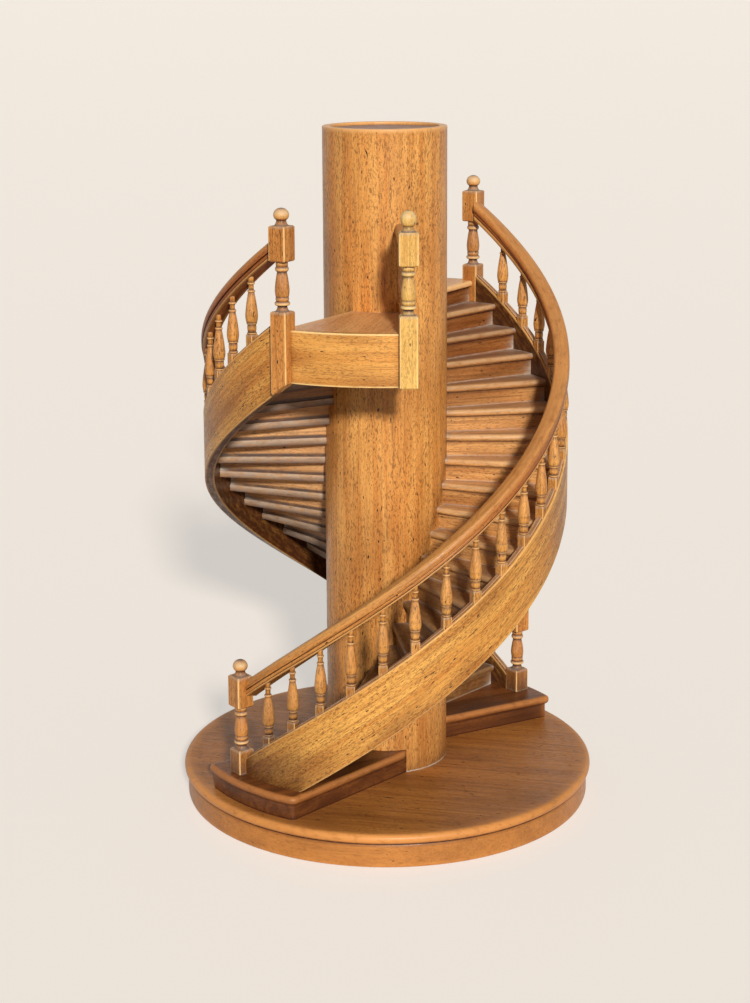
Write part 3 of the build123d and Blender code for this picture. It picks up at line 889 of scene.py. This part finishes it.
def baluster(place, heading, seed, height, slope=0.0, fall=0.0, soil=0.0):
    """A baluster at a place, its foot and top cut to the slope and its foot dirty with soil.

    Small changes to the height and girth of each turned shape make it its own.
    """
    random = np.random.default_rng(seed)
    shapes = [
        (length * random.uniform(0.97, 1.03), *(np.array(radii) * random.uniform(0.97, 1.03)))
        for length, *radii in baluster_shapes
    ]
    neck = height - baluster_block - sum(shape[0] for shape in shapes)
    rows = np.vstack([
        square_rows(baluster_square / 2, 0.0, baluster_block, 0.0004)[1:],
        lathe_rows([*shapes, (neck, 0.0021, 0.0021, 0.0021)], baluster_block),
    ])
    return post(rows, place, heading, 40, seed, 0.0, height, slope, fall, soil)


turned_wood = wood(
    "turned_wood", (244, 176, 92), (214, 142, 64), (124, 72, 33), (246, 194, 120), flecks=0.5
)
baluster_angles = foot_angle + first_gap + baluster_pitch * np.arange(baluster_count)
for flight in "ab":
    posts = [
        baluster(
            (*on_circle(baluster_radius, angle), string_top + climb * (angle - foot_angle)),
            angle,
            100 * ord(flight) + number,
            rail_over_baluster,
            climb / baluster_radius,
            underside_slope,
            soil=max(0.2, 0.75 - 0.12 * number),
        )
        for number, angle in enumerate(baluster_angles)
    ]
    assemble("turned_balusters_*", posts, turned_wood, "balusters_*", flight)

# ---- string fillets ----------------------------
# Thin strips of hardwood, glued along the top of the string in the spaces between the balusters,
# hold their feet.  Their edges are rubbed and a little dust lies on them.

strip_width = 0.0044
strip_height = 0.0016
strip_loop, strip_worn = eased(-strip_width / 2, strip_width / 2, 0, strip_height, 0.0003)
strip_wood = wood("strip_wood", (188, 124, 66), (156, 96, 48), (100, 58, 28), (220, 168, 110))
block_half = (baluster_square / 2 + 0.00007) / baluster_radius
ends = np.concatenate([[foot_angle + newel_half], baluster_angles + block_half])
stops = np.concatenate([baluster_angles - block_half, [head_angle - newel_half]])
for flight in "ab":
    strips = []
    for number, (start, stop) in enumerate(zip(ends, stops)):
        path, side = screw(string_middle, start, stop, string_top, 14)
        strips.append(run(path, side, strip_loop, number * 0.37, strip_worn, dust=0.25))
    assemble("baluster_fillets_*", strips, strip_wood, "string_strips_*", flight)

# ---- handrails ---------------------------------
# The rail follows the string: a broad round body over a bead and a small square fillet, worked
# with a scratch stock from a wreathed blank, and darker and redder than the rest from hands.

rail_fillet_height = 0.0028
rail_bead_height = 0.0060
rail_quirk = 0.0006
rail_side_height = 0.0096
rail_crown = 0.0034
rail_crown_rise = 0.0008


def rail_section(fall=0.0, squeeze=1.0):
    """Section of the rail as a closed loop, from the middle of its underside round to the right.

    Its heights are squeezed for a rail that lies level, and its underside falls to the left.
    """
    half = rail_width / 2
    foot = half - rail_fillet_inset
    inner = foot - rail_quirk
    bead = (rail_bead_height - rail_fillet_height - rail_quirk / 2) / 2
    bead_middle = rail_bead_height - bead
    turn = np.linspace(-pi / 2, pi / 2, 9)
    swell = np.linspace(0, pi / 2, 12)
    body_low = rail_bead_height + rail_quirk
    body_rise = rail_depth - rail_crown_rise - rail_side_height
    right = np.vstack([
        [(0.0, 0.0), (0.5 * foot, 0.0), (foot - 0.0007, 0.0)],
        arc((foot - 0.0003, 0.0003), 0.0003, -90, 0, 3),
        [(foot, rail_fillet_height - 0.0004), (foot - 0.0002, rail_fillet_height)],
        [(inner, rail_fillet_height)],
        together(inner + rail_quirk * np.cos(turn), bead_middle + bead * np.sin(turn)),
        [(inner, body_low), (half - 0.0010, body_low), (half - 0.0004, body_low + 0.0003)],
        [(half, body_low + 0.0013), (half, (body_low + rail_side_height) / 2)],
        together(
            rail_crown + (half - rail_crown) * np.cos(swell) ** 0.9,
            rail_side_height + body_rise * np.sin(swell) ** 0.9,
        ),
        [(0.66 * rail_crown, rail_depth - 0.0004), (0.33 * rail_crown, rail_depth - 0.0001)],
        [(0, rail_depth)],
    ])
    loop = np.vstack([right, right[-2:0:-1] * (-1, 1)])
    loop[:, 1] = loop[:, 1] * squeeze + fall * loop[:, 0] * (loop[:, 1] < 0.0005)
    return loop


def rail_marks(section):
    """Worn along the shoulders and on the fillet's edge; painted shade in the quirks, and painted shade with
    some dirt underneath.
    """
    high = section[:, 1] / section[:, 1].max()
    side = np.abs(section[:, 0]) / (rail_width / 2)
    worn = np.where(high < 0.2, (side > 0.7) * 0.6, np.clip((high - 0.55) / 0.3, 0, 1) * 0.35)
    quirk = (np.abs(high - 0.19) < 0.012) | (np.abs(high - 0.41) < 0.025)
    # Painted shade in the quirks; painted shade with some dirt on the underside.
    return worn, np.where(quirk & (side < 0.86), 1.0, np.where(high < 0.1, 0.35, 0.0))


rail_wood = wood(
    "rail_wood", (228, 160, 84), (184, 116, 52), (104, 58, 27), (242, 184, 110),
    flecks=0.45, above=((216, 186, 170), 0.16, 0.32),
)
head_half = newel_head_square / 2 / rail_radius * 0.95
rail_loop = rail_section(underside_slope)
rail_worn, rail_shade_and_dirt = rail_marks(rail_loop)
rail_path, rail_side = screw(
    rail_radius, foot_angle + head_half, head_angle - head_half, string_top + rail_above_string, 260
)
for flight, shift in (("a", 0.0), ("b", 2.1)):
    tube = run(rail_path, rail_side, rail_loop, shift, rail_worn, rail_shade_and_dirt)
    assemble("wreathed_rail_*", [tube], rail_wood, "handrail_*", flight)

# ---- landings ----------------------------------
# Each flight ends on a small landing of paler boards, let in between drum and newels: a floor
# board, a curved fascia between two newels, and a level string and rail that run back to the drum.

fascia_outer = string_outer - 0.0005
fascia_thickness = 0.006
end_string_half = 0.0035
joint_dirt = 0.0018
end_string_top = landing_top + 0.008
newel_aside = newel_radius * sin(end_row_lean)
newel_ahead = newel_radius * cos(end_row_lean)
landing_wood = wood(
    "landing_wood", (250, 188, 122), (236, 166, 102), (168, 106, 58), (246, 196, 134),
    patch=0.3, flecks=0.3, streaks=0.25,
)
fascia_wood = wood(
    "fascia_wood", (250, 186, 98), (234, 164, 80), (160, 98, 42), (252, 212, 142),
    patch=0.8, flecks=0.45, streaks=0.4,
)
fascia_loop, fascia_worn = eased(-fascia_thickness, 0, fascia_low, landing_top, 0.0006)
end_loop, end_worn = eased(-end_string_half, end_string_half, fascia_low, end_string_top, 0.0005)
level_loop = rail_section(squeeze=cos(np.arctan(climb / rail_radius)))
level_worn, level_shade_and_dirt = rail_marks(level_loop)
level_loop = level_loop + (0, end_string_top + level_rail_above_string)


def end_row(section, start, shift, worn, grime_and_shade=0.0):
    """Carries an upright section straight along the row at the landing's end, newel to drum.

    Each of its points, so far to the side, runs from a distance inward of the newel to where the
    line through it meets the drum's circle.
    """
    aside = newel_aside + section[:, 0]
    at_drum = newel_ahead - np.sqrt(drum_radius**2 - aside**2)
    ahead = newel_ahead - (start + (at_drum - start) * np.linspace(0, 1, 14)[:, None])
    points = together(*swung(ahead, aside, end_heading), section[:, 1])
    grain = together(aside, section[:, 1], ahead) + shift
    return {"points": points, "grain": grain, "worn": worn, "grime_and_shade": grime_and_shade}


for flight, shift in (("a", 0.6), ("b", 1.9)):
    points, part, _, up = winder(
        head_angle, end_heading, landing_top - tread_thickness, landing_top,
        nosing_round * 0.8, nosing_round, overhang, newel_aside - end_string_half,
        farthest=fascia_outer - fascia_thickness,
    )
    out = np.hypot(points[..., 0], points[..., 1])
    gap = (1 - part) * (end_angle - head_angle) * out
    dust = np.exp(-gap / joint_dirt) + np.exp(-(out - drum_radius) / joint_dirt)
    floor_board = {
        "points": points,
        "grain": board_grain(points, (head_angle + end_angle) / 2, shift),
        "worn": lip,
        # Painted shade on the landing board's underside.
        "grime_and_shade": 0.9 * (up < 0.001),
        "dust": np.clip(dust, 0, 1) * 0.6 * (up > tread_thickness / 2),
    }
    assemble("landing_board_*", [floor_board], landing_wood, "landing_floor_*", flight)

    stop = end_heading + np.arcsin((newel_aside - newel_square / 2) / fascia_outer)
    turn = np.linspace(head_angle + newel_half, stop, 60)
    side = round_axis(1.0, turn, 0.0)
    tube = run(side * fascia_outer, side, fascia_loop, shift, fascia_worn)
    from_end = np.minimum(turn - turn[0], turn[-1] - turn)[:, None] * fascia_outer
    tube["grime_and_shade"] = 0.55 * np.exp(-from_end / joint_dirt)
    assemble("curved_fascia_*", [tube], fascia_wood, "landing_fascia_*", flight)

    tube = end_row(end_loop, newel_square / 2, shift + 0.2, end_worn)
    assemble("end_string_*", [tube], fascia_wood, "landing_end_string_*", flight)

    tube = end_row(level_loop, newel_head_square / 2, shift + 0.4, level_worn, level_shade_and_dirt)
    assemble("level_rail_*", [tube], rail_wood, "landing_rail_*", flight)

    row_length = newel_ahead - sqrt(drum_radius**2 - newel_aside**2) - newel_square / 2
    posts = []
    for number in range(3):
        ahead = newel_ahead - newel_square / 2 - row_length * (number + 1) / 4
        place = (*swung(ahead, newel_aside, end_heading), end_string_top)
        seed = 7000 + 10 * ord(flight) + number
        posts.append(baluster(place, end_heading, seed, level_rail_above_string))
    assemble("landing_posts_*", posts, turned_wood, "landing_balusters_*", flight)

# ---- where it stands ---------------------------
# A plain pale floor that runs to the horizon, one soft key light from in front, a little to the
# right and above, and an even sky.  Floor and sky look pale to the camera and in reflections
# without lighting the wood more.


def seen_rays(tree):
    """One for rays from the camera, off gloss or through glass, and nought for others."""
    ray = tree.nodes.new("ShaderNodeLightPath").outputs
    total = times(tree, ray["Is Camera Ray"], ray["Is Glossy Ray"], "ADD")
    return times(tree, total, ray["Is Transmission Ray"], "ADD")


floor_half = 4000.0
floor_mesh = bpy.data.meshes.new("pale_floor")
corners = [(x * floor_half, y * floor_half, 0) for x, y in ((-1, -1), (1, -1), (1, 1), (-1, 1))]
floor_mesh.from_pydata(corners, [], [(0, 1, 2, 3)])
floor = add_object("pale_floor", floor_mesh)
floor_paint = bpy.data.materials.new("floor_paint")
floor_paint.use_nodes = True
floor_tree = floor_paint.node_tree
paint = floor_tree.nodes["Principled BSDF"]
paint.inputs["Base Color"].default_value = tint(186, 174, 160)
paint.inputs["Roughness"].default_value = 0.9
join(floor_tree, paint.inputs["Emission Strength"], times(floor_tree, seen_rays(floor_tree), 0.52))
paint.inputs["Emission Color"].default_value = (1.0, 0.97, 0.93, 1.0)
floor_mesh.materials.append(floor_paint)

world = bpy.data.worlds.new("even_sky")
world.use_nodes = True
sky_tree = world.node_tree
sky = sky_tree.nodes["Background"]
fill = (0.18, 0.177, 0.172, 1.0)
pale = tint(235, 227, 218)
join(sky_tree, sky.inputs["Color"], mixed(sky_tree, seen_rays(sky_tree), fill, pale))
sky.inputs["Strength"].default_value = 1.0
bpy.context.scene.world = world

key_light = bpy.data.lights.new("soft_key", "SUN")
key_light.energy = 1.06 * pi
key_light.angle = radians(5)
key_light.color = (1.0, 0.97, 0.93)
key = add_object("soft_key", key_light)
key.rotation_euler = (radians(67), 0, radians(9))

lens = bpy.data.cameras.new("camera")
lens.sensor_fit = "AUTO"
lens.sensor_width = 36.0
lens.lens = 69.09
lens.shift_y = -0.1365
lens.clip_start, lens.clip_end = 0.01, 10000.0
camera = add_object("camera", lens)
camera.location = (0.0, -1.57975, 0.67278)
camera.rotation_euler = (radians(79.115), radians(0.287), radians(0.266))
bpy.context.scene.camera = camera
bpy.context.scene.view_settings.view_transform = "Standard"
